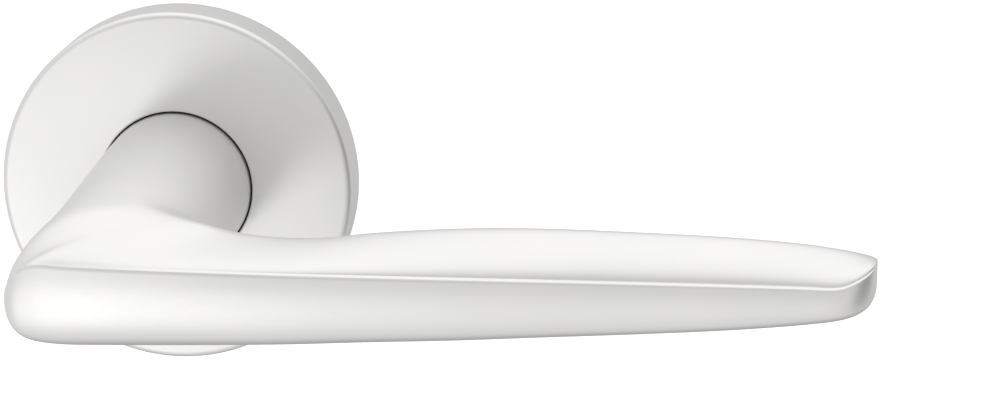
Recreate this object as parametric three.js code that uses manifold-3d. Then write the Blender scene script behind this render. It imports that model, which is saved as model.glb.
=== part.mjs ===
// Door lever handle on a round clip-on rose, millimetres, +Z up.
// The door face is the plane y = 0 and the room side is -Y. Distances called "out" are measured
// from the door face towards the room, so y = -out. The lever turns about the Y axis.
import * as THREE from "three";
import { mergeVertices } from "three/addons/utils/BufferGeometryUtils.js";
import Module from "manifold-3d";

const wasm = await Module();
wasm.setup();

// Sizes a buyer or a door maker would know.
const ROSE_R = 27.5; // radius of the rose cover
const ROSE_T = 8.5; // height of the rose cover above the door
const LEVER_REACH = 109.5; // from the turning axis to the tip of the lever
const PROJECTION = 58.9; // from the door face to the front of the lever
const NECK_R = 11.8; // radius of the neck where it leaves the rose
const SPINDLE = 8; // width across the flats of the square spindle
const BOLT_SPACING = 38; // between the two bolts
const TURN_DEG = 45; // how far the lever turns

// Fits and wall thicknesses.
const GAP = 0.3;
const COVER_WALL = 1.2;
const EDGE_ROUND = 1.0;
const HOLE_ROUND = 0.7;
const DOOR_GAP = 0.2;

// Inner parts, worked out from the inside to the outside.
const SOCKET = SPINDLE + 2 * GAP;
const JOURNAL_R = SOCKET * Math.SQRT1_2 + 1.9;
const KEY_R = JOURNAL_R + 0.4 * (NECK_R - JOURNAL_R);
const KEY_FLAT = Math.max(KEY_R - 1.1, JOURNAL_R + 0.05);
const BUSH_IN = JOURNAL_R + GAP;
const BUSH_OUT = BUSH_IN + 1;
const HUB_IN = BUSH_OUT + GAP;
const HUB_OUT = HUB_IN + 1.6;
const SPRING_WIRE = 1.2;
const SPRING_R = HUB_OUT + 0.65 + SPRING_WIRE / 2;
const FINGER_IN = SPRING_R + SPRING_WIRE / 2 + 0.5;
const FINGER_OUT = FINGER_IN + 2.6;
const COVER_IN_R = ROSE_R - COVER_WALL;
const RIM_OUT = COVER_IN_R - 1;
const RIM_IN = RIM_OUT - 1.8;
const HOLE_R = NECK_R + 0.3;

// Inner parts, worked out from the front of the rose to the door.
const COVER_IN = ROSE_T - COVER_WALL;
const SHOULDER = ROSE_T - 0.6;
const DRIVER_FRONT = COVER_IN - GAP;
const DRIVER_BACK = DRIVER_FRONT - 1.1;
const COLLAR_FRONT = DRIVER_BACK - GAP;
const HUB_FRONT = COLLAR_FRONT - 1.15;
const WEB = 1.4;
const WEB_BACK = 0.3; // the carrier stands on its rim, so the web is set back this far
const JOURNAL_END = -3;
const RING_FRONT = -1.1;
const RING_BACK = -2.1;

const BOLT_R = 1.9;
const BOLT_HEAD_R = 3.5;
const BOSS_R = 4.2;
const BOSS_FRONT = 3.4;
const BOLT_AT = Math.min(BOLT_SPACING / 2, RIM_IN - BOSS_R + 0.1);
const FINGER_REST = 205; // degrees round the axis, from +X over +Z, seen from the room
const FINGER_HALF = 6;
const GRUB_OUT = 16;

const satinAluminium = new THREE.MeshStandardMaterial({ color: 0xe2e3de, roughness: 0.42, metalness: 1 });
const castZinc = new THREE.MeshStandardMaterial({ color: 0x9a9c9d, roughness: 0.55, metalness: 1 });
const zincSteel = new THREE.MeshStandardMaterial({ color: 0xb9bcbd, roughness: 0.35, metalness: 1 });
const springSteel = new THREE.MeshStandardMaterial({ color: 0x6f7173, roughness: 0.4, metalness: 1 });
const blackSteel = new THREE.MeshStandardMaterial({ color: 0x2c2c2e, roughness: 0.5, metalness: 1 });
const blackPlastic = new THREE.MeshStandardMaterial({ color: 0x242527, roughness: 0.5, metalness: 0 });

const root = new THREE.Group();
root.name = "door_lever_handle";

function solidOf(geometry) {
  const bare = geometry.index ? geometry.toNonIndexed() : geometry.clone();
  bare.deleteAttribute("normal");
  bare.deleteAttribute("uv");
  const merged = mergeVertices(bare, 1e-4);
  return new wasm.Manifold(
    new wasm.Mesh({
      numProp: 3,
      vertProperties: new Float32Array(merged.attributes.position.array),
      triVerts: new Uint32Array(merged.index.array),
    }),
  );
}

function geometryOf(solid) {
  const mesh = solid.getMesh();
  const geometry = new THREE.BufferGeometry();
  geometry.setAttribute("position", new THREE.BufferAttribute(mesh.vertProperties, 3));
  geometry.setIndex(new THREE.BufferAttribute(mesh.triVerts, 1));
  geometry.computeVertexNormals();
  return geometry;
}

function add(name, shape, material) {
  const geometry = shape.isBufferGeometry ? shape : geometryOf(shape);
  const mesh = new THREE.Mesh(geometry, material);
  mesh.name = name;
  root.add(mesh);
}

// A body of revolution about the turning axis, from [radius, out] pairs.
function turned(profile, segments = 64) {
  const points = profile.map(([radius, out]) => new THREE.Vector2(radius, -out));
  const solid = solidOf(new THREE.LatheGeometry(points, segments));
  if (solid.volume() > 0) return solid;
  return solidOf(new THREE.LatheGeometry(points.reverse(), segments));
}

function tube(inner, outer, back, front, segments = 64) {
  return turned([[inner, back], [outer, back], [outer, front], [inner, front], [inner, back]], segments);
}

function disc(radius, back, front, segments = 48) {
  return turned([[0, back], [radius, back], [radius, front], [0, front]], segments);
}

// A flat shape drawn as seen from the room (x to the right, z up), from one depth to another.
function plate(shape, back, front, curveSegments = 24) {
  const geometry = new THREE.ExtrudeGeometry(shape, { depth: front - back, bevelEnabled: false, curveSegments });
  geometry.translate(0, 0, back);
  geometry.rotateX(Math.PI / 2);
  return solidOf(geometry);
}

// A piece of a ring between two angles in degrees.
function sector(inner, outer, fromDeg, toDeg, back, front) {
  const from = THREE.MathUtils.degToRad(fromDeg);
  const to = THREE.MathUtils.degToRad(toDeg);
  const shape = new THREE.Shape();
  shape.absarc(0, 0, outer, from, to, false);
  shape.absarc(0, 0, inner, to, from, true);
  shape.closePath();
  return plate(shape, back, front, 16);
}

// A round with two flats above and below, as on a keyed shaft.
function flattedRound(radius, flat, back, front) {
  const block = solidOf(new THREE.BoxGeometry(2 * radius + 2, 2 * (front - back) + 2, 2 * flat));
  const shifted = block.translate([0, -(front + back) / 2, 0]);
  return disc(radius, back, front, 64).intersect(shifted);
}

function cylinderAt(x, z, radius, back, front, segments = 28) {
  return disc(radius, back, front, segments).translate([x, 0, z]);
}

// The lever's sections. Each one stands upright and runs from a point on the door side to a point on
// the room side: [x, out, x, out, ridge, bottom at, bottom, back, top at, top, fullness of the upper
// door side, fullness below the ridge, fullness of the top, fullness above the ridge, slope at the
// ridge]. "At" figures are shares of the section's depth.
const T = LEVER_REACH / 110;
const P = PROJECTION;
const R = NECK_R;
const ROUND = 0.5523;
const LEVER_SECTIONS = [
  [R, SHOULDER, -R, SHOULDER, 0, 0.5, -R, 0, 0.5, R, ROUND, ROUND, ROUND, ROUND, 0],
  [R, P - 45, -R - 0.12, P - 45, 0, 0.5, -R, 0, 0.51, R - 0.5, ROUND, ROUND, ROUND, ROUND, 0],
  [R - 0.1, P - 36, -R - 0.07, P - 36, 0, 0.5, 0.1 - R, 0, 0.52, R - 1.5, 0.55, ROUND, 0.57, 0.57, 0],
  [R - 0.3, P - 28, 0.05 - R, P - 28, -0.1, 0.5, 0.2 - R, 0, 0.53, R - 2.4, 0.56, 0.57, 0.6, 0.6, 0],
  [R - 0.4, P - 22.4, -R, P - 20, -0.6, 0.52, -R, -0.4, 0.54, R - 3.1, 0.55, 0.62, 0.64, 0.64, 0],
  [R, P - 19.4, -R - 0.9, P - 12.6, -1.9, 0.6, -R - 0.4, -1, 0.52, R - 3.8, 0.52, 0.7, 0.67, 0.65, 0],
  [R + 0.9, P - 17.1, -4.7 - R, P - 6.2, -5.4, 0.66, -R - 0.6, -1.8, 0.3, R - 5.3, 0.5, 0.76, 0.58, 0.52, 4],
  [R + 2.2, P - 15.7, -3.7 - R, P - 2.8, -3.2, 0.74, -R - 0.6, -2.4, 0.31, R - 5.8, 0.5, 0.8, 0.42, 0.4, 16],
  [R + 4.2, P - 14.9, -0.8 - R, P - 1.8, -0.2, 0.76, -R - 0.6, -2.8, 0.305, R - 6.3, 0.5, 0.82, 0.25, 0.28, 24],
  [R + 6.8, P - 14.5, 4.6 - R, P - 1.1, 0, 0.74, -R - 0.4, -3, 0.327, R - 6.9, 0.5, 0.82, 0.25, 0.28, 28],
  [R + 10.8, P - 14.3, 14.6 - R, P - 0.4, 0, 0.71, -R, -3, 0.33, R - 8.2, ROUND, 0.82, 0.25, 0.28, 28],
  [30 * T, P - 14.2, 24 * T, P, 0, 0.7, -11, -2.9, 0.34, 3.2, ROUND, 0.82, 0.26, 0.3, 28],
  [38 * T, P - 14.1, 36 * T, P - 0.1, 0, 0.7, -10.3, -2.6, 0.32, 4.3, ROUND, 0.82, 0.24, 0.3, 28],
  [50 * T, P - 13.9, 50 * T, P - 0.4, 0, 0.7, -9.6, -2.2, 0.3, 5.3, ROUND, 0.82, 0.22, 0.3, 28],
  [62 * T, P - 13.6, 62 * T, P - 0.8, 0, 0.7, -8.8, -1.8, 0.3, 5.7, ROUND, 0.82, 0.22, 0.3, 28],
  [76 * T, P - 13.2, 76 * T, P - 1.2, 0, 0.7, -7.9, -1.4, 0.3, 5.6, ROUND, 0.82, 0.22, 0.3, 28],
  [90 * T, P - 12.8, 90 * T, P - 1.5, 0, 0.7, -6.8, -1, 0.3, 5.3, ROUND, 0.82, 0.22, 0.3, 28],
  [100 * T, P - 12.5, 100 * T, P - 1.6, 0, 0.7, -5.7, -0.6, 0.3, 4.7, ROUND, 0.8, 0.22, 0.3, 28],
  [105 * T, P - 12.3, 105 * T, P - 1.7, 0.05, 0.7, -4.9, -0.3, 0.3, 4.1, ROUND, 0.78, 0.24, 0.3, 28],
  [107.2 * T, P - 12.1, 107.2 * T, P - 2.3, 0.9, 0.7, -4.3, 0, 0.32, 3.75, ROUND, 0.72, 0.3, 0.3, 34],
  [108.8 * T, P - 11.8, 108.8 * T, P - 3.6, 1.7, 0.66, -3.5, 0.3, 0.34, 3.4, ROUND, 0.64, 0.4, 0.4, 40],
  [109.6 * T, P - 11.4, 109.6 * T, P - 5, 2.2, 0.6, -2.5, 0.6, 0.4, 3.15, ROUND, 0.58, 0.45, 0.45, 45],
  [110 * T, P - 10.8, 110 * T, P - 6.6, 2.4, 0.55, -1.2, 0.9, 0.45, 2.95, ROUND, 0.56, 0.5, 0.5, 50],
];
const QUARTER_STEPS = 9;
const STEPS_BETWEEN = 3;

function sectionPoints(section) {
  const [xIn, outIn, xOut, outOut, ridge, bottomAt, bottom, back, topAt, top, ...shape] = section;
  const [inner, low, high, tight, slope] = shape;
  const depth = Math.hypot(xOut - xIn, outOut - outIn);
  const f = [depth, ridge];
  const b = [bottomAt * depth, bottom];
  const k = [0, back];
  const t = [topAt * depth, top];
  const lean = Math.tan(THREE.MathUtils.degToRad(slope));
  const quarters = [
    [f, [depth, ridge - low * (ridge - bottom)], [b[0] + low * (depth - b[0]), bottom], b],
    [b, [b[0] * (1 - ROUND), bottom], [0, back - ROUND * (back - bottom)], k],
    [k, [0, back + inner * (top - back)], [t[0] * (1 - inner), top], t],
    [t, [t[0] + high * (depth - t[0]), top], [depth - tight * (top - ridge) * lean, ridge + tight * (top - ridge)], f],
  ];
  const points = [];
  for (const corners of quarters) {
    const curve = new THREE.CubicBezierCurve(...corners.map(([w, z]) => new THREE.Vector2(w, z)));
    for (let i = 0; i < QUARTER_STEPS; i++) {
      const { x: w, y: z } = curve.getPoint(i / QUARTER_STEPS);
      const share = w / depth;
      points.push(new THREE.Vector3(xIn + share * (xOut - xIn), -(outIn + share * (outOut - outIn)), z));
    }
  }
  return points;
}

function leverBody() {
  const stations = LEVER_SECTIONS.map(sectionPoints);
  const around = stations[0].length;
  const count = (stations.length - 1) * STEPS_BETWEEN + 1;
  const lines = [];
  for (let i = 0; i < around; i++) {
    lines.push(new THREE.CatmullRomCurve3(stations.map((station) => station[i]), false, "centripetal"));
  }
  const positions = [];
  for (let ring = 0; ring < count; ring++) {
    for (const line of lines) positions.push(...line.getPoint(ring / (count - 1)).toArray());
  }
  const middle = (ring) => {
    const sum = new THREE.Vector3();
    for (const line of lines) sum.add(line.getPoint(ring / (count - 1)));
    return sum.divideScalar(around);
  };
  positions.push(...middle(0).toArray(), ...middle(count - 1).toArray());
  const index = [];
  for (let ring = 0; ring < count - 1; ring++) {
    for (let i = 0; i < around; i++) {
      const a = ring * around + i;
      const b = ring * around + ((i + 1) % around);
      index.push(a, b, a + around, b, b + around, a + around);
    }
  }
  const startCentre = count * around;
  const lastRing = (count - 1) * around;
  for (let i = 0; i < around; i++) {
    const next = (i + 1) % around;
    index.push(startCentre, next, i);
    index.push(startCentre + 1, lastRing + i, lastRing + next);
  }
  const geometry = new THREE.BufferGeometry();
  geometry.setAttribute("position", new THREE.Float32BufferAttribute(positions, 3));
  geometry.setIndex(index);
  const solid = solidOf(geometry);
  if (solid.volume() > 0) return solid;
  throw new Error("the lever's sections run the wrong way round");
}

function lever() {
  const key = flattedRound(KEY_R, KEY_FLAT, COLLAR_FRONT + 0.15, SHOULDER + 0.5);
  const journal = disc(JOURNAL_R, JOURNAL_END, COLLAR_FRONT + 0.2, 64);
  const groove = tube(JOURNAL_R - 1, JOURNAL_R + 1, RING_BACK - 0.15, RING_FRONT + 0.15, 48);
  const socketLength = 24 - JOURNAL_END;
  const socket = solidOf(new THREE.BoxGeometry(SOCKET, socketLength + 1, SOCKET));
  const grubHole = solidOf(new THREE.CylinderGeometry(2.8, 2.8, NECK_R + 2, 28));
  const hole = grubHole.rotate([90, 0, 0]).translate([0, -GRUB_OUT, -(NECK_R + 2) / 2]);
  return leverBody()
    .add(key)
    .add(journal)
    .subtract(groove)
    .subtract(socket.translate([0, -(24 + JOURNAL_END - 1) / 2, 0]))
    .subtract(hole);
}

// Pressed cap: a flat face with a rounded edge and a rolled rim round the neck hole.
function roseCover() {
  const profile = [];
  const arc = (centreR, centreOut, radius, fromDeg, toDeg, steps) => {
    for (let i = 0; i <= steps; i++) {
      const angle = THREE.MathUtils.degToRad(fromDeg + ((toDeg - fromDeg) * i) / steps);
      profile.push([centreR + radius * Math.cos(angle), centreOut + radius * Math.sin(angle)]);
    }
  };
  profile.push([COVER_IN_R, DOOR_GAP], [ROSE_R, DOOR_GAP]);
  arc(ROSE_R - EDGE_ROUND, ROSE_T - EDGE_ROUND, EDGE_ROUND, 0, 90, 5);
  arc(HOLE_R + HOLE_ROUND, ROSE_T - HOLE_ROUND, HOLE_ROUND, 90, 180, 4);
  profile.push([HOLE_R, COVER_IN], [COVER_IN_R, COVER_IN], [COVER_IN_R, DOOR_GAP]);
  return turned(profile, 96);
}

// Die-cast carrier: web, rim, hub, bolt bosses, lugs that enter the door, and the finger's two stops.
function roseBase() {
  const bossBottom = -7;
  let solid = tube(HUB_IN, RIM_OUT, WEB_BACK, WEB, 72);
  solid = solid.add(tube(RIM_IN, RIM_OUT, 0, COVER_IN - 0.8, 72));
  solid = solid.add(tube(HUB_IN, HUB_OUT, 0, HUB_FRONT, 72));
  for (const z of [BOLT_AT, -BOLT_AT]) {
    solid = solid.add(cylinderAt(0, z, BOSS_R, 0, BOSS_FRONT, 36));
    solid = solid.add(cylinderAt(0, z, BOSS_R - 0.3, bossBottom, WEB, 36));
    solid = solid.subtract(cylinderAt(0, z, BOLT_R + GAP, bossBottom - 1, BOSS_FRONT + 1, 28));
  }
  const clear = FINGER_HALF + 1.5;
  const rest = FINGER_REST + clear;
  const end = FINGER_REST - TURN_DEG - clear;
  solid = solid.add(sector(FINGER_IN + 0.5, FINGER_OUT + 0.6, rest, rest + 9, WEB - 0.2, DRIVER_BACK - 0.6));
  solid = solid.add(sector(FINGER_IN + 0.5, FINGER_OUT + 0.6, end - 9, end, WEB - 0.2, DRIVER_BACK - 0.6));
  return solid.subtract(springPin(GAP));
}

function springPin(extra = 0) {
  const angle = THREE.MathUtils.degToRad(SPRING_FIXED_DEG);
  const radius = SPRING_R + 2.9;
  const x = radius * Math.cos(angle);
  const z = radius * Math.sin(angle);
  return cylinderAt(x, z, 0.9 + extra, 0.2 - extra, extra ? WEB + 1 : COLLAR_FRONT, 20);
}

// Plastic bush: a sleeve in the hub with a collar in front of it.
function bearingBush() {
  return turned([
    [BUSH_IN, 0.2],
    [BUSH_OUT, 0.2],
    [BUSH_OUT, HUB_FRONT + GAP],
    [HUB_OUT - 0.2, HUB_FRONT + GAP],
    [HUB_OUT - 0.2, COLLAR_FRONT],
    [BUSH_IN, COLLAR_FRONT],
    [BUSH_IN, 0.2],
  ]);
}

// Plastic driver: a disc keyed to the lever, with a finger that reaches back to the spring.
function driver() {
  const from = FINGER_REST - FINGER_HALF;
  const to = FINGER_REST + FINGER_HALF;
  const bore = flattedRound(KEY_R + GAP, KEY_FLAT + GAP, DRIVER_BACK - 1, SHOULDER + 1);
  return disc(FINGER_IN + 0.4, DRIVER_BACK, DRIVER_FRONT, 64)
    .add(disc(NECK_R - 0.3, DRIVER_BACK + 0.2, SHOULDER - GAP, 64))
    .add(sector(SPRING_R, FINGER_OUT, from, to, DRIVER_BACK, DRIVER_FRONT))
    .add(sector(FINGER_IN, FINGER_OUT, from, to, WEB + 0.5, DRIVER_FRONT - 0.2))
    .subtract(bore);
}

// Torsion spring round the hub. One leg leans on the finger, the other on the pin in the base.
const SPRING_FROM_DEG = FINGER_REST - FINGER_HALF - 5;
const SPRING_TURNS = 1.55;
const SPRING_TO_DEG = SPRING_FROM_DEG + 360 * SPRING_TURNS;
const SPRING_FIXED_DEG = SPRING_TO_DEG - 7;

function returnSpring() {
  const low = WEB + 0.4 + SPRING_WIRE / 2;
  const high = COLLAR_FRONT - 0.1 - SPRING_WIRE / 2;
  const points = [];
  const at = (deg, radius, out) => {
    const angle = THREE.MathUtils.degToRad(deg);
    return new THREE.Vector3(radius * Math.cos(angle), -out, radius * Math.sin(angle));
  };
  const to = SPRING_TO_DEG;
  points.push(at(SPRING_FROM_DEG, SPRING_R + 3.6, low));
  points.push(at(SPRING_FROM_DEG, SPRING_R + 2.1, low));
  points.push(at(SPRING_FROM_DEG + 1.5, SPRING_R + 0.7, low));
  for (let i = 1; i < 36; i++) {
    const share = i / 36;
    const deg = SPRING_FROM_DEG + 5 + (to - SPRING_FROM_DEG - 10) * share;
    points.push(at(deg, SPRING_R, low + (high - low) * share));
  }
  points.push(at(to - 1.5, SPRING_R + 0.7, high));
  points.push(at(to, SPRING_R + 2.1, high));
  points.push(at(to, SPRING_R + 4.4, high));
  const path = new THREE.CatmullRomCurve3(points, false, "centripetal");
  const wire = new THREE.Shape();
  wire.absarc(0, 0, SPRING_WIRE / 2, 0, 2 * Math.PI, false);
  return new THREE.ExtrudeGeometry(wire, { steps: 110, curveSegments: 8, extrudePath: path });
}

// Square spindle and the hexagon-socket screw that holds it in the lever.
function spindle() {
  const front = 23.4;
  const back = -52;
  const bar = new THREE.BoxGeometry(SPINDLE, front - back, SPINDLE);
  bar.translate(0, -(front + back) / 2, 0);
  return bar;
}

function spindleScrew() {
  const inner = SPINDLE / 2 + 0.15;
  const outer = NECK_R - 1.2;
  const body = solidOf(new THREE.CylinderGeometry(2.5, 2.5, outer - inner, 28));
  const socket = solidOf(new THREE.CylinderGeometry(1.35, 1.35, 4, 6));
  return body
    .rotate([90, 0, 0])
    .translate([0, -GRUB_OUT, -(inner + outer) / 2])
    .subtract(socket.rotate([90, 0, 0]).translate([0, -GRUB_OUT, -outer]));
}

function retainingRing() {
  return sector(JOURNAL_R - 0.7, JOURNAL_R + 1.3, 120, 420, RING_BACK, RING_FRONT);
}

function fixingBolt(z) {
  const under = BOSS_FRONT + 0.3 + 0.6 + 0.2;
  const hexagon = cylinderAt(0, z, 1.6, under + 1.1, under + 4, 6);
  return cylinderAt(0, z, BOLT_HEAD_R, under, under + 2.1, 36)
    .add(cylinderAt(0, z, BOLT_R, -17, under + 0.3, 28))
    .subtract(hexagon);
}

function boltWasher(z) {
  const ring = tube(BOLT_R + 0.25, BOLT_HEAD_R + 0.4, BOSS_FRONT + 0.25, BOSS_FRONT + 0.85, 36);
  return ring.translate([0, 0, z]);
}

function boltSleeve(z) {
  const bore = cylinderAt(0, z, BOLT_R + GAP, -17.6, -7, 28);
  return cylinderAt(0, z, 3.2, -19.5, -9.3, 32).subtract(bore);
}

// Spring-steel clip over the edge of the carrier's rim. It grips the inside of the cover.
function coverClip(deg) {
  const from = deg - 6;
  const to = deg + 6;
  const top = COVER_IN - 0.2;
  return sector(RIM_OUT + GAP, COVER_IN_R - GAP, from, to, 2.6, top)
    .add(sector(RIM_IN - 0.75, COVER_IN_R - GAP - 0.1, from, to, top - 0.35, top))
    .add(sector(RIM_IN - 0.75, RIM_IN - GAP, from, to, 3.6, top));
}

add("lever", lever(), satinAluminium);
add("rose_cover", roseCover(), satinAluminium);
add("rose_base", roseBase(), castZinc);
add("bearing_bush", bearingBush(), blackPlastic);
add("driver", driver(), blackPlastic);
add("thrust_washer", tube(JOURNAL_R + GAP, HUB_OUT - 0.6, -0.8, -GAP, 48), zincSteel);
add("retaining_ring", retainingRing(), springSteel);
add("return_spring", returnSpring(), springSteel);
add("spring_pin", springPin(), zincSteel);
add("spindle", spindle(), zincSteel);
add("spindle_screw", spindleScrew(), blackSteel);
add("fixing_bolt_upper", fixingBolt(BOLT_AT), zincSteel);
add("fixing_bolt_lower", fixingBolt(-BOLT_AT), zincSteel);
add("bolt_washer_upper", boltWasher(BOLT_AT), zincSteel);
add("bolt_washer_lower", boltWasher(-BOLT_AT), zincSteel);
add("bolt_sleeve_upper", boltSleeve(BOLT_AT), zincSteel);
add("bolt_sleeve_lower", boltSleeve(-BOLT_AT), zincSteel);
add("cover_clip_1", coverClip(0), springSteel);
add("cover_clip_2", coverClip(135), springSteel);
add("cover_clip_3", coverClip(225), springSteel);

export default root;
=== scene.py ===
from math import atan2, cos, exp, hypot, pi, radians, sin, sqrt, tan

import bmesh
import bpy
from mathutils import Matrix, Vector


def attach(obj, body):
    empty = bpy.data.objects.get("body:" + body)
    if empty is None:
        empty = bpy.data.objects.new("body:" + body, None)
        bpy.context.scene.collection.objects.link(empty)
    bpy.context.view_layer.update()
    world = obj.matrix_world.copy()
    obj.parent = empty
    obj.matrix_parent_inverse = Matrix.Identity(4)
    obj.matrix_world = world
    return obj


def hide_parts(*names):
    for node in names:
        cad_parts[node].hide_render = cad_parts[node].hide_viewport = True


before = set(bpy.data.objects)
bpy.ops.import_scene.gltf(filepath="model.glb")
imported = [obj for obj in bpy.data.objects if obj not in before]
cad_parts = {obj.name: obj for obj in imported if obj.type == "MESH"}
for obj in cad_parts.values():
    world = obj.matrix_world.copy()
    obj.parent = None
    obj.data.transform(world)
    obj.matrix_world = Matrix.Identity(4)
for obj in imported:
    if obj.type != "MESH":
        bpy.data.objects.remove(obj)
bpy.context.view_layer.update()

# Studio. A sweep of pale paper under the handle, a tent of soft light round it with a bright ceiling and
# greyer gaps, and one round lamp low on the left in front, which throws the neck's shadow on the rose.


def linear(code):
    """A colour given as an sRGB hex code, as the linear RGBA that shaders take."""
    parts = [int(code[i:i + 2], 16) / 255 for i in (0, 2, 4)]
    return [c / 12.92 if c <= 0.04045 else ((c + 0.055) / 1.055) ** 2.4 for c in parts] + [1]


def put(tree, kind, links=None, **settings):
    """Adds one node. Settings are properties or input values; links go from sockets to inputs."""
    node = tree.nodes.new(kind)
    for key, value in settings.items():
        if hasattr(node, key):
            setattr(node, key, value)
        else:
            name = key.replace("_", " ")
            socket = node.inputs[int(name[3:])] if name.startswith("in ") else node.inputs[name]
            socket.default_value = value
    for key, source in (links or {}).items():
        tree.links.new(source, node.inputs[key])
    return node


studio = bpy.data.worlds.new("studio_tent")
studio.use_nodes = True
tent = studio.node_tree
tent.nodes.clear()
direction = put(tent, "ShaderNodeTexCoord").outputs["Generated"]
# Brightness of the tent away from its gaps and panels. Each of those gives its azimuth from the camera
# side (right positive), its elevation, half width and change of brightness.
TENT = 0.77
brightness = None
for name, azimuth, elevation, width, change in (
    ("ceiling", 180, 86, 64, 0.44),
    ("gap_over_camera", 0, 40, 36, -0.36),
    ("gap_right", 82, 0, 54, -0.52),
    ("wall_behind", 180, 10, 40, -0.34),
    ("wall_low_behind", 180, -55, 50, -0.45),
):
    a, e = radians(azimuth), radians(elevation)
    towards = (sin(a) * cos(e), -cos(a) * cos(e), sin(e))
    facing = put(tent, "ShaderNodeVectorMath", {0: direction}, operation="DOT_PRODUCT", label=name)
    facing.inputs[1].default_value = towards
    share = put(tent, "ShaderNodeMapRange", {"Value": facing.outputs["Value"]},
                interpolation_type="SMOOTHSTEP", From_Min=cos(radians(width)), From_Max=1,
                To_Min=0, To_Max=change)
    if brightness is None:
        brightness = put(tent, "ShaderNodeMath", {0: share.outputs["Result"]}, operation="ADD", in_1=TENT)
    else:
        brightness = put(tent, "ShaderNodeMath", {0: share.outputs["Result"], 1: brightness.outputs[0]},
                         operation="ADD")
soft = put(tent, "ShaderNodeBackground", {"Strength": brightness.outputs[0]}, Color=linear("ffffff"))
paper = put(tent, "ShaderNodeBackground", Color=(1, 1, 1, 1), Strength=1.05)
seen = put(tent, "ShaderNodeLightPath")
both = put(tent, "ShaderNodeMixShader",
           {0: seen.outputs["Is Camera Ray"], 1: soft.outputs[0], 2: paper.outputs[0]})
put(tent, "ShaderNodeOutputWorld", {"Surface": both.outputs[0]})
bpy.context.scene.world = studio
bpy.context.scene.view_settings.view_transform = "Standard"

camera = bpy.data.objects.new("camera", bpy.data.cameras.new("camera"))
camera.data.sensor_width = 36
camera.data.lens = 139.3
camera.location = (0.120925, -0.58063, 0.143246)
camera.rotation_euler = (radians(90 - 14), 0, radians(7))
bpy.context.collection.objects.link(camera)
bpy.context.scene.camera = camera

FLOOR_SIZE, FLOOR_Z = 3, -0.16
sweep = bmesh.new()
bmesh.ops.create_grid(sweep, x_segments=1, y_segments=1, size=FLOOR_SIZE)
bmesh.ops.translate(sweep, verts=sweep.verts, vec=(0, 0, FLOOR_Z))
sweep_mesh = bpy.data.meshes.new("floor")
sweep.to_mesh(sweep_mesh)
floor = bpy.data.objects.new("floor", sweep_mesh)
bpy.context.collection.objects.link(floor)
# The lamp stands lower than the floor, which neither shades the handle nor shows in the metal.
floor.visible_glossy = False
floor.visible_shadow = False
card = bpy.data.materials.new("white_paper")
card.use_nodes = True
card.node_tree.nodes.clear()
white = put(card.node_tree, "ShaderNodeBsdfPrincipled", Base_Color=linear("f4f4f2"), Roughness=0.9,
            Emission_Color=(1, 1, 1, 1), Emission_Strength=0.42)
put(card.node_tree, "ShaderNodeOutputMaterial", {"Surface": white.outputs[0]})
sweep_mesh.materials.append(card)

LAMP_AWAY = 0.9
lamp = bpy.data.lights.new("lamp_low_left", "AREA")
lamp.shape = "DISK"
lamp.size = 0.2
lamp.energy = 0.6
towards = Vector((-0.35, -0.86, -0.37)).normalized()
lamp_stand = bpy.data.objects.new("lamp_low_left", lamp)
lamp_stand.location = towards * LAMP_AWAY
lamp_stand.rotation_euler = towards.to_track_quat("Z", "Y").to_euler()
bpy.context.collection.objects.link(lamp_stand)

# Lever. One aluminium casting, machined behind the rose, blasted with fine glass beads and anodised in
# its natural colour. The bead blast leaves a silky surface with a very fine even grain and no lines.


def new_surface(name):
    """An empty material, its node tree and the place on the piece that its patterns follow."""
    material = bpy.data.materials.new(name)
    material.use_nodes = True
    material.node_tree.nodes.clear()
    return material, material.node_tree, put(material.node_tree, "ShaderNodeTexCoord").outputs["Object"]


anodised, tree, place = new_surface("satin_anodised_aluminium")
# Grain of 0.12 mm beads, drawn at 0.25 mm so that it shows.
grain = put(tree, "ShaderNodeTexNoise", {"Vector": place}, Scale=4000, Detail=2, Roughness=0.6)
# Slow change of tone over about 15 mm, from the etch before anodising.
cloud = put(tree, "ShaderNodeTexNoise", {"Vector": place}, Scale=65, Detail=1)
tone = put(tree, "ShaderNodeMix", {0: cloud.outputs["Fac"]}, data_type="RGBA")
tone.inputs[6].default_value = linear("ececea")
tone.inputs[7].default_value = linear("f1f0ee")
gloss = put(tree, "ShaderNodeMapRange", {"Value": grain.outputs["Fac"]}, To_Min=0.43, To_Max=0.53)
pits = put(tree, "ShaderNodeBump", {"Height": grain.outputs["Fac"]}, Strength=0.12, Distance=0.00003)
metal = put(tree, "ShaderNodeBsdfPrincipled",
            {"Base Color": tone.outputs[2], "Roughness": gloss.outputs[0], "Normal": pits.outputs[0]},
            Metallic=1)
put(tree, "ShaderNodeOutputMaterial", {"Surface": metal.outputs[0]})

# Millimetres until the lever is finished. SHOULDER is where the neck starts, in front of the door; ROUND
# is the fullness at which a curve of four corners follows a quarter of a circle.
NECK_R = 11.8
REACH = 109.5
FRONT = 58.9
SHOULDER = 7.9
SOCKET = 8.6
JOURNAL_R = SOCKET * sqrt(0.5) + 1.9
KEY_R = JOURNAL_R + 0.4 * (NECK_R - JOURNAL_R)
KEY_FLAT = KEY_R - 1.1
KEY_BACK = 5.75
GROOVE_FRONT, GROOVE_BACK, GROOVE_DEPTH = -0.95, -2.25, 1
JOURNAL_END, SOCKET_END = -3, 24
NO_FLAT = 99
ROUND = 0.5523

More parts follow.
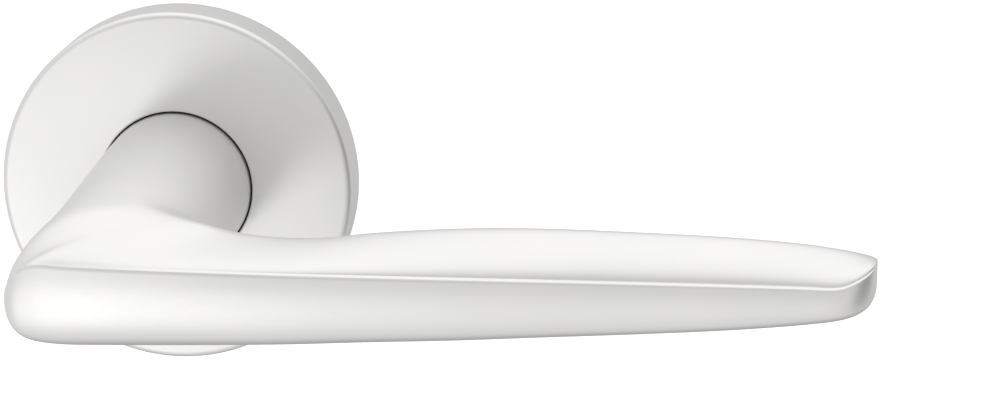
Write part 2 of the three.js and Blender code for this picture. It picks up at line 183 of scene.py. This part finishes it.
# Upright sections along the lever, each from a point on the door side to one on the room side:
# x, out, x, out, ridge height, bottom (share of depth, height), back, top (share, height), fullness of
# the upper door side, below the ridge, of the top and above the ridge, slope of the upper face at the
# ridge in degrees, how crisp the ridge is.
R, P, T = NECK_R, FRONT, REACH / 110
SECTIONS = (
    (R, SHOULDER, -R, SHOULDER, 0, 0.5, -R, 0, 0.5, R, ROUND, ROUND, ROUND, ROUND, 0, 0),
    (R, P - 45, -R - 0.12, P - 45, 0, 0.5, -R, 0, 0.51, R - 0.5, ROUND, ROUND, ROUND, ROUND, 0, 0),
    (R - 0.1, P - 36, -R - 0.07, P - 36, 0, 0.5, 0.1 - R, 0, 0.52, R - 1.5, 0.55, ROUND, 0.57, 0.57, 0, 0),
    (R - 0.3, P - 28, 0.05 - R, P - 28, -0.1, 0.5, 0.2 - R, 0, 0.53, R - 2.4, 0.56, 0.57, 0.6, 0.6, 0, 0),
    (R - 0.4, P - 22.4, -R, P - 20, -0.6, 0.52, -R, -0.4, 0.51, R - 3.3, 0.55, 0.62, 0.64, 0.64, 0, 0),
    (R, P - 19.4, -R - 0.9, P - 12.6, -1.9, 0.6, -R - 0.4, -1, 0.45, R - 4.3, 0.52, 0.7, 0.68, 0.66, 0, 0),
    (R + 0.9, P - 17.1, -4.4 - R, P - 6.2, -4.9, 0.66, -R - 0.6, -1.8, 0.37, R - 5.1,
     0.5, 0.76, 0.6, 0.54, 4, 0.3),
    (R + 2.2, P - 15.7, -3.7 - R, P - 2.8, -3.2, 0.74, -R - 0.6, -2.4, 0.31, R - 5.8,
     0.5, 0.8, 0.42, 0.4, 16, 0.9),
    (R + 4.2, P - 14.9, -0.8 - R, P - 1.8, -0.2, 0.76, -R - 0.6, -2.8, 0.305, R - 6.3,
     0.5, 0.82, 0.25, 0.28, 24, 1),
    (R + 6.8, P - 14.5, 4.6 - R, P - 1.1, 0, 0.74, -R - 0.4, -3, 0.327, R - 6.9,
     0.5, 0.82, 0.25, 0.28, 28, 1),
    (R + 10.8, P - 14.3, 14.6 - R, P - 0.4, 0, 0.71, -R, -3, 0.33, R - 8.2, ROUND, 0.82, 0.25, 0.28, 28, 1),
    (30 * T, P - 14.2, 24 * T, P, 0, 0.7, -11, -2.9, 0.34, 3.2, ROUND, 0.82, 0.26, 0.3, 28, 1),
    (38 * T, P - 14.1, 36 * T, P - 0.1, 0, 0.7, -10.3, -2.6, 0.32, 4.3, ROUND, 0.82, 0.24, 0.3, 28, 1),
    (50 * T, P - 13.9, 50 * T, P - 0.4, 0, 0.7, -9.6, -2.2, 0.3, 5.3, ROUND, 0.82, 0.22, 0.3, 28, 1),
    (62 * T, P - 13.6, 62 * T, P - 0.8, 0, 0.7, -8.8, -1.8, 0.3, 5.7, ROUND, 0.82, 0.22, 0.3, 28, 1),
    (76 * T, P - 13.2, 76 * T, P - 1.2, 0, 0.7, -7.9, -1.4, 0.3, 5.6, ROUND, 0.82, 0.22, 0.3, 28, 1),
    (90 * T, P - 12.8, 90 * T, P - 1.5, 0, 0.7, -6.8, -1, 0.3, 5.3, ROUND, 0.82, 0.22, 0.3, 28, 1),
    (100 * T, P - 12.5, 100 * T, P - 1.6, 0, 0.7, -5.7, -0.6, 0.3, 4.7, ROUND, 0.8, 0.22, 0.3, 28, 1),
    (105 * T, P - 12.3, 105 * T, P - 1.7, 0.05, 0.7, -4.9, -0.3, 0.3, 4.1, ROUND, 0.78, 0.24, 0.3, 28, 1),
    (107.2 * T, P - 12.1, 107.2 * T, P - 2.3, 0.9, 0.7, -4.3, 0, 0.32, 3.75, ROUND, 0.72, 0.3, 0.3, 34, 1),
    (108.8 * T, P - 11.8, 108.8 * T, P - 3.6, 1.7, 0.66, -3.5, 0.3, 0.34, 3.4, ROUND, 0.64, 0.4, 0.4, 40, 1),
    (109.6 * T, P - 11.4, 109.6 * T, P - 5, 2.2, 0.6, -2.5, 0.6, 0.4, 3.15, ROUND, 0.58, 0.45, 0.45, 45, 1),
    (110 * T, P - 10.8, 110 * T, P - 6.6, 2.4, 0.55, -1.2, 0.9, 0.45, 2.95, ROUND, 0.56, 0.5, 0.5, 50, 1),
)
# Points in each quarter of a section, and rings from one section to the next.
QUARTER = 12
RINGS_BETWEEN = 3
# The front rolls back half a millimetre as it comes up to the ridge, and the upper face meets it in a
# narrow ledge, so the ridge catches the light as a thin line.
ROLL, ROLL_LENGTH = 0.6, 1.8
LEDGE_DEPTH, LEDGE_RISE = 0.45, 0.2


def bezier(corners, t):
    """A point at t on the cubic curve of four corners."""
    a, b, c, d = (Vector(corner) for corner in corners)
    return a * (1 - t) ** 3 + b * 3 * t * (1 - t) ** 2 + c * 3 * t * t * (1 - t) + d * t ** 3


def section_outline(section):
    """Points round one section, from the ridge down, under, up the back and over the top."""
    x_in, out_in, x_out, out_out, ridge, low_at, low, back, top_at, top = section[:10]
    inner, below, above, tight, slope, crisp = section[10:]
    depth = hypot(x_out - x_in, out_out - out_in)
    low_w, top_w = low_at * depth, top_at * depth
    lean = tan(radians(slope))
    front = ((depth, ridge), (depth, ridge - below * (ridge - low)),
             (low_w + below * (depth - low_w), low), (low_w, low))
    under = ((low_w, low), (low_w * (1 - ROUND), low), (0, back - ROUND * (back - low)), (0, back))
    behind = ((0, back), (0, back + inner * (top - back)), (top_w * (1 - inner), top), (top_w, top))
    upper = ((top_w, top), (top_w + above * (depth - top_w), top),
             (depth - tight * (top - ridge) * lean, ridge + tight * (top - ridge)), (depth, ridge))
    outline = []
    for curve in (front, under, behind, upper):
        for k in range(QUARTER):
            w, z = bezier(curve, k / QUARTER)
            if curve is front:
                w -= crisp * ROLL * exp((z - ridge) / ROLL_LENGTH)
            elif curve is upper:
                w -= crisp * (ROLL + LEDGE_DEPTH) * (k / QUARTER) ** 3
            outline.append((w, z))
    w, z = bezier(upper, 1 - 0.3 / QUARTER)
    outline.append((w - crisp * (ROLL + LEDGE_DEPTH), z + crisp * LEDGE_RISE))
    return [Vector((x_in + w / depth * (x_out - x_in), -(out_in + w / depth * (out_out - out_in)), z))
            for w, z in outline]


def flow(before, start, end, after, t):
    """A point on the smooth curve through four points, between the middle two."""
    d0, d1, d2 = (sqrt(max((b - a).length, 1e-6)) for a, b in ((before, start), (start, end), (end, after)))
    leave = ((start - before) / d0 - (end - before) / (d0 + d1) + (end - start) / d1) * d1
    reach = ((end - start) / d1 - (after - start) / (d1 + d2) + (after - end) / d2) * d1
    return (start + leave * t + (3 * (end - start) - 2 * leave - reach) * t * t
            + (2 * (start - end) + leave + reach) * t ** 3)


stations = [section_outline(section) for section in SECTIONS]
rings, creases = [], []
for i in range(len(stations) - 1):
    a, b = stations[i], stations[i + 1]
    before = stations[i - 1] if i else [2 * p - q for p, q in zip(a, b)]
    after = stations[i + 2] if i + 2 < len(stations) else [2 * q - p for p, q in zip(a, b)]
    for step in range(RINGS_BETWEEN):
        t = step / RINGS_BETWEEN
        rings.append([flow(*points, t) for points in zip(before, a, b, after)])
        creases.append(SECTIONS[i][-1] * (1 - t) + SECTIONS[i + 1][-1] * t)
rings.append(stations[-1])
creases.append(1)

body = bmesh.new()
crease = body.edges.layers.float.new("crease_edge")
count = len(rings[0])
angles = [atan2(point.z, point.x) for point in rings[0]]
first = bmesh.ops.create_circle(body, segments=count, radius=NECK_R)["verts"]


def move_ring(verts, points):
    """Puts a loop of vertices on a loop of points."""
    for vert, point in zip(verts, points):
        vert.co = point


def next_ring(bm, verts, points, sharp=0.0):
    """Extrudes a closed loop of vertices to the next loop of points."""
    edges = [bm.edges.get((verts[k - 1], verts[k])) for k in range(len(verts))]
    if sharp:
        for edge in edges:
            edge[crease] = sharp
    made = bmesh.ops.extrude_edge_only(bm, edges=edges)["geom"]
    new = {v for v in made if isinstance(v, bmesh.types.BMVert)}
    ordered = [next(e.other_vert(v) for e in v.link_edges if e.other_vert(v) in new) for v in verts]
    move_ring(ordered, points)
    return ordered


def round_points(radius, out, flat=NO_FLAT):
    """A round section, flattened above and below where flat is less than the radius."""
    return [Vector((radius * cos(t), -out, max(-flat, min(flat, radius * sin(t))))) for t in angles]


def square_points(half, out):
    """A square section."""
    return [Vector((cos(t), 0, sin(t))) * (half / max(abs(cos(t)), abs(sin(t)))) - Vector((0, out, 0))
            for t in angles]


move_ring(first, rings[0])
loop = first
ridge, root = [first[0]], [first[-1]]
for points in rings[1:]:
    loop = next_ring(body, loop, points)
    ridge.append(loop[0])
    root.append(loop[-1])
for k, value in enumerate(creases[:-1]):
    for line, hard in ((ridge, value), (root, 0.7 * value)):
        body.edges.get((line[k], line[k + 1]))[crease] = hard
# The tip's end face keeps a firm edge over its upper part.
for k in range(count - QUARTER - QUARTER // 2, count):
    body.edges.get((loop[k], loop[(k + 1) % count]))[crease] = 0.85
bmesh.ops.contextual_create(body, geom=loop)

# The machined end: seat for the driver with two flats, journal, ring groove, square socket.
loop = first
for radius, out, flat in (
    (KEY_R, SHOULDER, KEY_FLAT),
    (KEY_R, KEY_BACK, KEY_FLAT),
    (JOURNAL_R, KEY_BACK, NO_FLAT),
    (JOURNAL_R, GROOVE_FRONT, NO_FLAT),
    (JOURNAL_R - GROOVE_DEPTH, GROOVE_FRONT, NO_FLAT),
    (JOURNAL_R - GROOVE_DEPTH, GROOVE_BACK, NO_FLAT),
    (JOURNAL_R, GROOVE_BACK, NO_FLAT),
    (JOURNAL_R, JOURNAL_END, NO_FLAT),
):
    loop = next_ring(body, loop, round_points(radius, out, flat), 1.0)
loop = next_ring(body, loop, square_points(SOCKET / 2, JOURNAL_END), 1.0)
loop = next_ring(body, loop, square_points(SOCKET / 2, SOCKET_END), 1.0)
for k in range(len(loop)):
    body.edges.get((loop[k - 1], loop[k]))[crease] = 1
bmesh.ops.contextual_create(body, geom=loop)
bmesh.ops.recalc_face_normals(body, faces=body.faces)
bmesh.ops.scale(body, vec=(0.001, 0.001, 0.001), verts=body.verts)


def keep(bm, name, material, rides, stands_for, smooth=35):
    """Turns a finished bmesh into a piece that rides on its body and stands for its CAD node."""
    mesh = bpy.data.meshes.new(name)
    bm.to_mesh(mesh)
    bm.free()
    mesh.materials.append(material)
    mesh.shade_smooth()
    mesh.set_sharp_from_angle(angle=radians(smooth))
    piece = bpy.data.objects.new(name, mesh)
    bpy.context.collection.objects.link(piece)
    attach(piece, rides)
    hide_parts(*stands_for)
    return piece


lever = keep(body, "lever_casting", anodised, "lever", ["lever"], smooth=180)
rounding = lever.modifiers.new("rounding", "SUBSURF")
rounding.levels = rounding.render_levels = 2

# Hole for the spindle screw, drilled from below into the socket before the lever was blasted.
drill = bmesh.new()
bmesh.ops.create_cone(drill, cap_ends=True, segments=48, radius1=0.0028, radius2=0.0028, depth=0.01)
bmesh.ops.translate(drill, verts=drill.verts, vec=(0, -0.016, -0.0085))
drill_mesh = bpy.data.meshes.new("drill")
drill.to_mesh(drill_mesh)
drill.free()
drill_bit = bpy.data.objects.new("drill", drill_mesh)
bpy.context.collection.objects.link(drill_bit)
hole = lever.modifiers.new("screw_hole", "BOOLEAN")
hole.operation = "DIFFERENCE"
hole.object = drill_bit
bpy.context.view_layer.update()
drilled = bpy.data.meshes.new_from_object(lever.evaluated_get(bpy.context.evaluated_depsgraph_get()))
lever.modifiers.clear()
lever.data = drilled
drilled.set_sharp_from_angle(angle=radians(62))
bpy.data.objects.remove(drill_bit)
bpy.data.meshes.remove(drill_mesh)

# Rose cover. A cap pressed from aluminium sheet, its edge rounded over and its neck hole rolled
# inwards, then blasted and anodised with the lever.

ROSE_R, ROSE_T = 27.5, 8.5
SHEET = 1.2
EDGE_ROUND = 1
DOOR_GAP = 0.2
HOLE_R = NECK_R + 0.2
HOLE_ROUND = 0.3


def turned(profile, steps=192):
    """A closed profile of radius and distance out, spun about the turning axis."""
    bm = bmesh.new()
    verts = [bm.verts.new((radius, -out, 0)) for radius, out in profile]
    edges = [bm.edges.new((verts[k - 1], verts[k])) for k in range(len(verts))]
    bmesh.ops.spin(bm, geom=verts + edges, cent=(0, 0, 0), axis=(0, 1, 0), angle=2 * pi, steps=steps,
                   use_merge=True)
    bmesh.ops.remove_doubles(bm, verts=bm.verts, dist=1e-4)
    bmesh.ops.recalc_face_normals(bm, faces=bm.faces)
    return bm


def arc(radius, out, size, start, end, steps):
    """Points of a rounded corner in a profile."""
    turns = [radians(start + (end - start) * k / steps) for k in range(steps + 1)]
    return [(radius + size * cos(t), out + size * sin(t)) for t in turns]


cap = turned(
    [(ROSE_R - SHEET, DOOR_GAP), (ROSE_R - 0.15, DOOR_GAP), (ROSE_R, DOOR_GAP + 0.15)]
    + arc(ROSE_R - EDGE_ROUND, ROSE_T - EDGE_ROUND, EDGE_ROUND, 0, 90, 10)
    + arc(HOLE_R + HOLE_ROUND, ROSE_T - HOLE_ROUND, HOLE_ROUND, 90, 180, 8)
    + [(HOLE_R, ROSE_T - SHEET), (ROSE_R - SHEET, ROSE_T - SHEET)]
)
bmesh.ops.scale(cap, vec=(0.001, 0.001, 0.001), verts=cap.verts)
keep(cap, "rose_cap", anodised, "cover", ["rose_cover"], smooth=30)

# Carrier behind the cover. One zinc pressure die casting: web, rim, hub, two bosses with lugs that enter
# the door, two stops. It is tumbled with ceramic chips, which dulls it and leaves small soft dents.


def dress(material, names, edge=0.0):
    """Gives CAD nodes their material, and breaks their edges by a small bevel in metres."""
    for name in names:
        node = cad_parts[name]
        for held in node.material_slots:
            held.material = material
        if edge:
            weld = node.modifiers.new("weld", "WELD")
            weld.merge_threshold = 0.000002
            broken = node.modifiers.new("broken_edges", "BEVEL")
            broken.width = edge
            broken.segments = 2
            broken.limit_method = "ANGLE"
            broken.angle_limit = radians(50)
            broken.harden_normals = True


cast, tree, place = new_surface("tumbled_zinc_casting")
# Tumbling dents of about 1.2 mm, and the casting's skin at 0.3 mm.
dents = put(tree, "ShaderNodeTexVoronoi", {"Vector": place}, Scale=820, feature="SMOOTH_F1", Smoothness=0.9)
skin = put(tree, "ShaderNodeTexNoise", {"Vector": place}, Scale=3300, Detail=2)
flow_marks = put(tree, "ShaderNodeTexNoise", {"Vector": place}, Scale=110, Detail=3, Distortion=1.2)
tone = put(tree, "ShaderNodeMix", {0: flow_marks.outputs["Fac"]}, data_type="RGBA")
tone.inputs[6].default_value = linear("a3a5a8")
tone.inputs[7].default_value = linear("b6b8ba")
gloss = put(tree, "ShaderNodeMapRange", {"Value": skin.outputs["Fac"]}, To_Min=0.40, To_Max=0.58)
dented = put(tree, "ShaderNodeBump", {"Height": dents.outputs["Distance"]}, Strength=0.25, Distance=0.00004)
pores = put(tree, "ShaderNodeBump", {"Height": skin.outputs["Fac"], "Normal": dented.outputs[0]},
            Strength=0.2, Distance=0.00002)
metal = put(tree, "ShaderNodeBsdfPrincipled",
            {"Base Color": tone.outputs[2], "Roughness": gloss.outputs[0], "Normal": pores.outputs[0]},
            Metallic=1)
put(tree, "ShaderNodeOutputMaterial", {"Surface": metal.outputs[0]})
dress(cast, ["rose_base"], 0.00012)

# Bush and driver. Both are black acetal, injection moulded in spark-eroded tools, so they are dark, a
# little waxy and very finely grained. The bush is pressed into the hub, the driver keyed to the lever.

acetal, tree, place = new_surface("moulded_black_acetal")
# Spark-eroded grain of 0.1 mm, drawn at 0.2 mm so that it shows.
spark = put(tree, "ShaderNodeTexNoise", {"Vector": place}, Scale=5000, Detail=2, Roughness=0.7)
bloom = put(tree, "ShaderNodeTexNoise", {"Vector": place}, Scale=90, Detail=1)
tone = put(tree, "ShaderNodeMix", {0: bloom.outputs["Fac"]}, data_type="RGBA")
tone.inputs[6].default_value = linear("18181a")
tone.inputs[7].default_value = linear("212123")
gloss = put(tree, "ShaderNodeMapRange", {"Value": spark.outputs["Fac"]}, To_Min=0.36, To_Max=0.52)
grained = put(tree, "ShaderNodeBump", {"Height": spark.outputs["Fac"]}, Strength=0.15, Distance=0.00002)
plastic = put(tree, "ShaderNodeBsdfPrincipled",
              {"Base Color": tone.outputs[2], "Roughness": gloss.outputs[0], "Normal": grained.outputs[0]},
              IOR=1.48)
put(tree, "ShaderNodeOutputMaterial", {"Surface": plastic.outputs[0]})
dress(acetal, ["bearing_bush", "driver"], 0.00015)

# Spring, retaining ring and cover clips. Patented spring wire and rolled strip, stress-relieved in an
# oven, which leaves a grey-brown tint, then oiled. The ring snaps into the groove of the lever.

tempered, tree, place = new_surface("oven_tempered_spring_steel")
# Drawing and rolling lines 0.15 mm apart, drawn at 0.4 mm so that they show.
lines = put(tree, "ShaderNodeTexNoise", {"Vector": place}, Scale=2400, Detail=3, Roughness=0.65)
tint = put(tree, "ShaderNodeTexNoise", {"Vector": place}, Scale=140, Detail=2)
tone = put(tree, "ShaderNodeMix", {0: tint.outputs["Fac"]}, data_type="RGBA")
tone.inputs[6].default_value = linear("75757a")
tone.inputs[7].default_value = linear("857d74")
gloss = put(tree, "ShaderNodeMapRange", {"Value": lines.outputs["Fac"]}, To_Min=0.26, To_Max=0.42)
drawn = put(tree, "ShaderNodeBump", {"Height": lines.outputs["Fac"]}, Strength=0.12, Distance=0.00001)
metal = put(tree, "ShaderNodeBsdfPrincipled",
            {"Base Color": tone.outputs[2], "Roughness": gloss.outputs[0], "Normal": drawn.outputs[0]},
            Metallic=1)
put(tree, "ShaderNodeOutputMaterial", {"Surface": metal.outputs[0]})
dress(tempered, ["return_spring"])
dress(tempered, ["retaining_ring", "cover_clip_1", "cover_clip_2", "cover_clip_3"], 0.0001)

# Spindle, pin, thrust washer, bolts, washers and sleeves. Cold-drawn or turned steel, zinc plated and
# blue passivated: bright, a little milky, with a faint blue cast that drifts over the surface.

plated, tree, place = new_surface("blue_zinc_plated_steel")
# Plating crystals of 0.05 mm, drawn at 0.3 mm so that they show; the cast drifts over 8 mm.
crystals = put(tree, "ShaderNodeTexNoise", {"Vector": place}, Scale=3300, Detail=2, Roughness=0.7)
drift = put(tree, "ShaderNodeTexNoise", {"Vector": place}, Scale=125, Detail=2, Distortion=0.6)
tone = put(tree, "ShaderNodeMix", {0: drift.outputs["Fac"]}, data_type="RGBA")
tone.inputs[6].default_value = linear("c3c8d0")
tone.inputs[7].default_value = linear("d3d4d2")
gloss = put(tree, "ShaderNodeMapRange", {"Value": crystals.outputs["Fac"]}, To_Min=0.24, To_Max=0.40)
frost = put(tree, "ShaderNodeBump", {"Height": crystals.outputs["Fac"]}, Strength=0.1, Distance=0.00001)
metal = put(tree, "ShaderNodeBsdfPrincipled",
            {"Base Color": tone.outputs[2], "Roughness": gloss.outputs[0], "Normal": frost.outputs[0]},
            Metallic=1)
put(tree, "ShaderNodeOutputMaterial", {"Surface": metal.outputs[0]})
dress(plated, ["spindle"], 0.0004)
dress(plated, ["fixing_bolt_upper", "fixing_bolt_lower"], 0.0002)
dress(plated, ["bolt_sleeve_upper", "bolt_sleeve_lower", "spring_pin"], 0.0002)
dress(plated, ["thrust_washer", "bolt_washer_upper", "bolt_washer_lower"], 0.0001)

# Spindle screw. A hexagon-socket set screw of alloy steel with black oxide, an even dark skin with an
# oily sheen. It goes in from below and presses on a flat of the spindle.

oxide, tree, place = new_surface("black_oxide_steel")
# Oxide skin, drawn at 0.25 mm so that it shows.
scale = put(tree, "ShaderNodeTexNoise", {"Vector": place}, Scale=4000, Detail=2)
tone = put(tree, "ShaderNodeMix", {0: scale.outputs["Fac"]}, data_type="RGBA")
tone.inputs[6].default_value = linear("2a2a2d")
tone.inputs[7].default_value = linear("3a393a")
gloss = put(tree, "ShaderNodeMapRange", {"Value": scale.outputs["Fac"]}, To_Min=0.34, To_Max=0.5)
metal = put(tree, "ShaderNodeBsdfPrincipled",
            {"Base Color": tone.outputs[2], "Roughness": gloss.outputs[0]}, Metallic=1)
put(tree, "ShaderNodeOutputMaterial", {"Surface": metal.outputs[0]})
dress(oxide, ["spindle_screw"], 0.0001)
